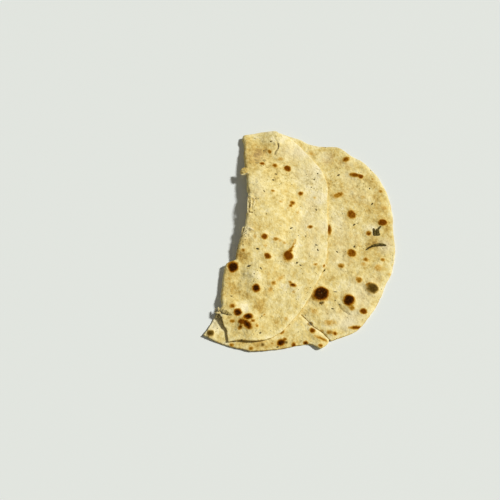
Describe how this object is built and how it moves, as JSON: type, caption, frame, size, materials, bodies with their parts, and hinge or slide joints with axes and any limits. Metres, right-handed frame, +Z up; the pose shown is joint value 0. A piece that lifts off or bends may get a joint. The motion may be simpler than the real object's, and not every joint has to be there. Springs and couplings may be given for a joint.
{
  "type": "chapati flatbread",
  "caption": "Thin round griddle-baked flatbread folded over off centre, with a puffed fold, a torn corner behind the fold and a short tear in its rim.",
  "frame": {"origin": "centre of the bread's outline seen from above, on the surface that it lies on", "axes": "+Z up, +Y along the fold, which is on the -X side; the flap's free rim and the bare base are towards +X"},
  "size_m": [0.1368, 0.1834, 0.0108],
  "materials": {
    "bread": "dry baked whole-wheat dough, matt, pale yellow with scattered brown griddle spots"
  },
  "bodies": {
    "root": {"chapati": "bread"}
  },
  "joints": []
}
